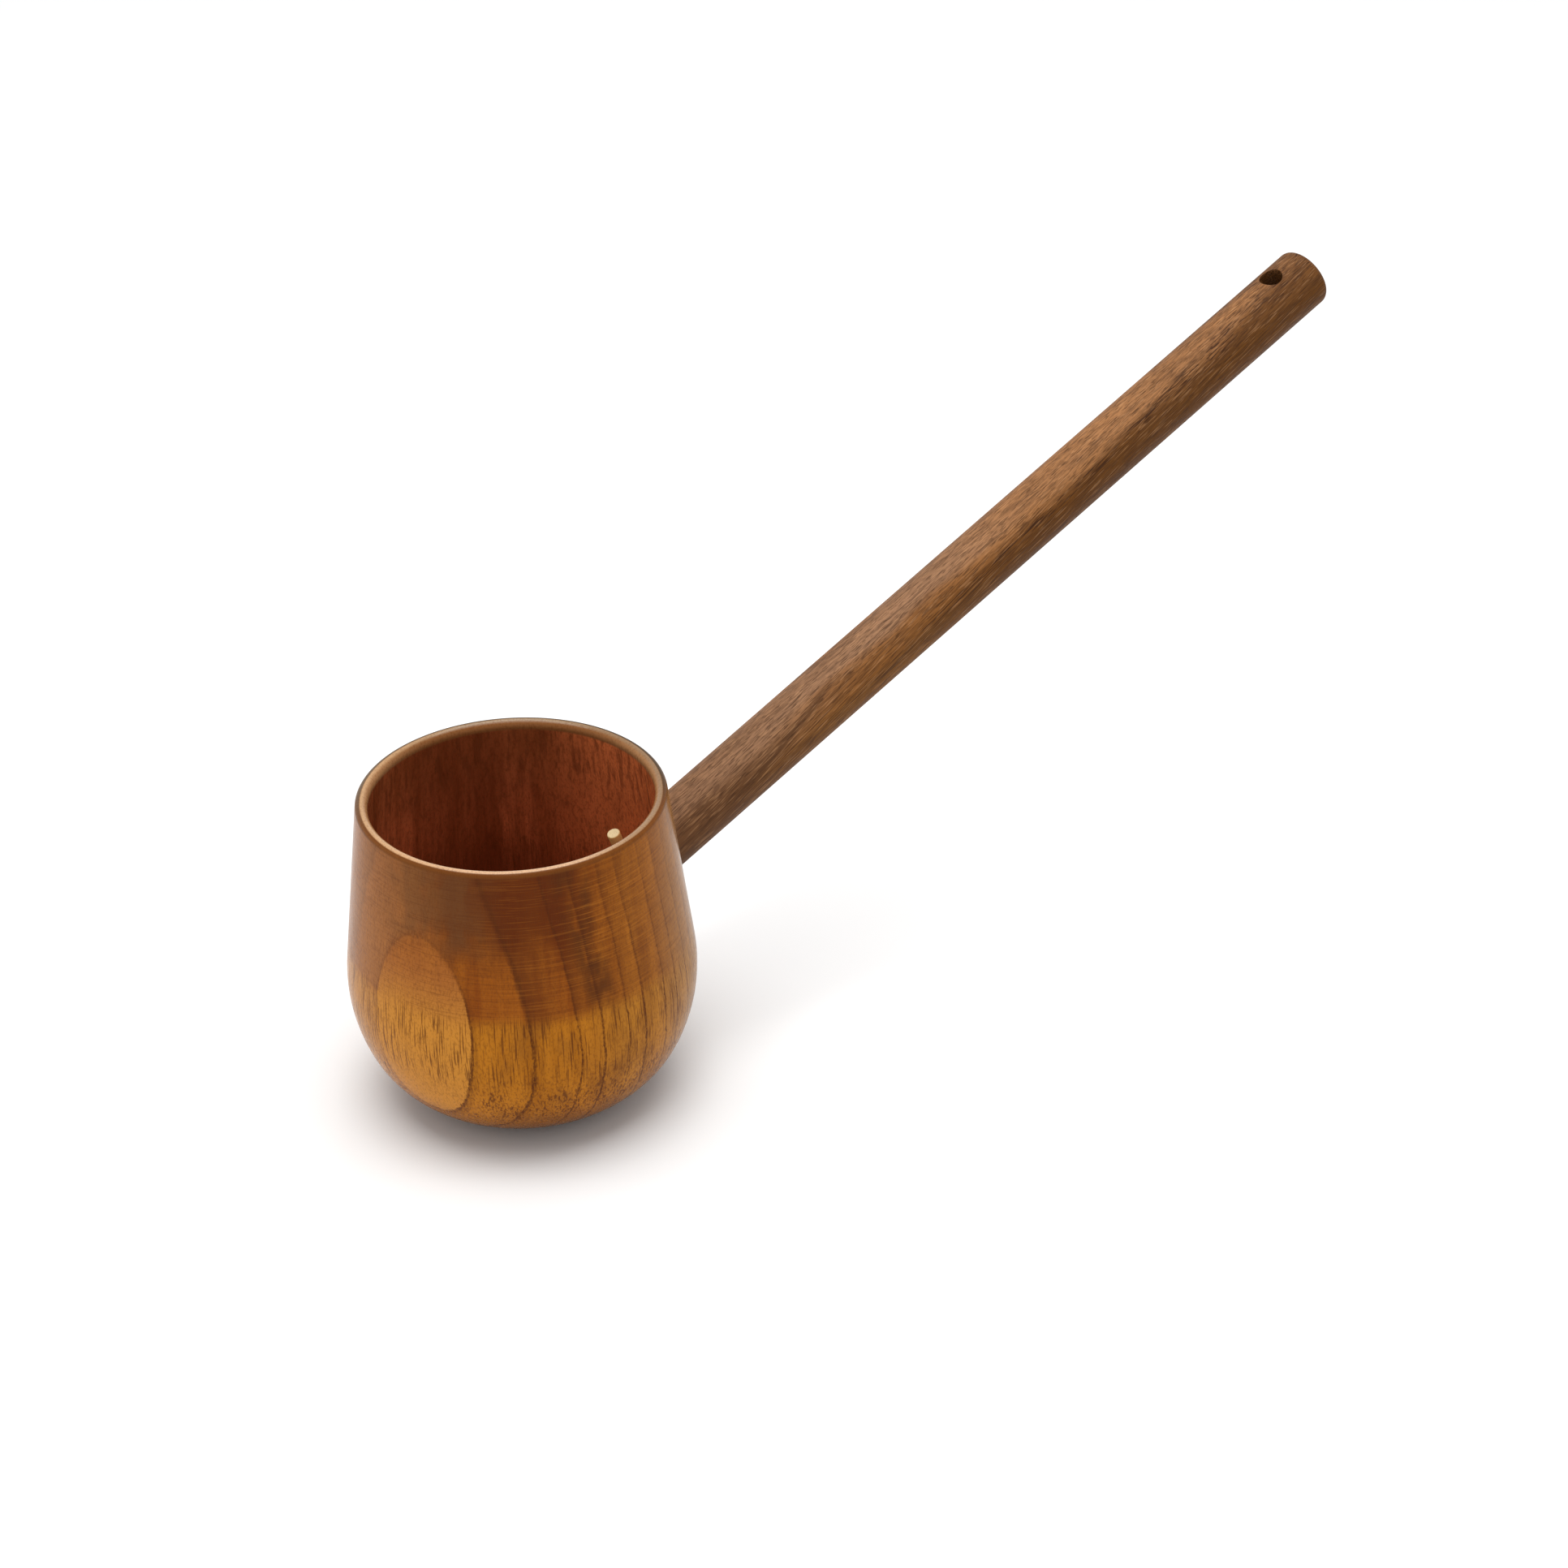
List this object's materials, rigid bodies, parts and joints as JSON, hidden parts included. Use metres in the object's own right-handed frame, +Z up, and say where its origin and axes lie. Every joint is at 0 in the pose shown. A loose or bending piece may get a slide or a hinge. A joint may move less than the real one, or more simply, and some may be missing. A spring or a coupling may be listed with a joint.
{
  "type": "water dipper",
  "caption": "Wooden water dipper: a turned barrel-shaped cup with a slanting round handle, tenoned through the wall, pegged inside the cup and holed at its far end for hanging.",
  "frame": {"origin": "centre of the cup's flat base, on the surface that the cup stands on", "axes": "+Z up along the cup's axis, +X the way the handle points, level, and the handle rises 20 degrees above it"},
  "size_m": [0.3097, 0.0834, 0.1371],
  "materials": {
    "lacquered_wood": "clear gloss lacquer over amber-brown flat-sawn grain, redder inside the cup",
    "walnut": "satin oil over brown walnut with dark streaks and open pores along the rod",
    "bamboo": "bare pale bamboo with a dotted cut end"
  },
  "bodies": {
    "root": {"cup": "lacquered_wood", "handle": "walnut", "locking_peg": "bamboo"}
  },
  "joints": []
}
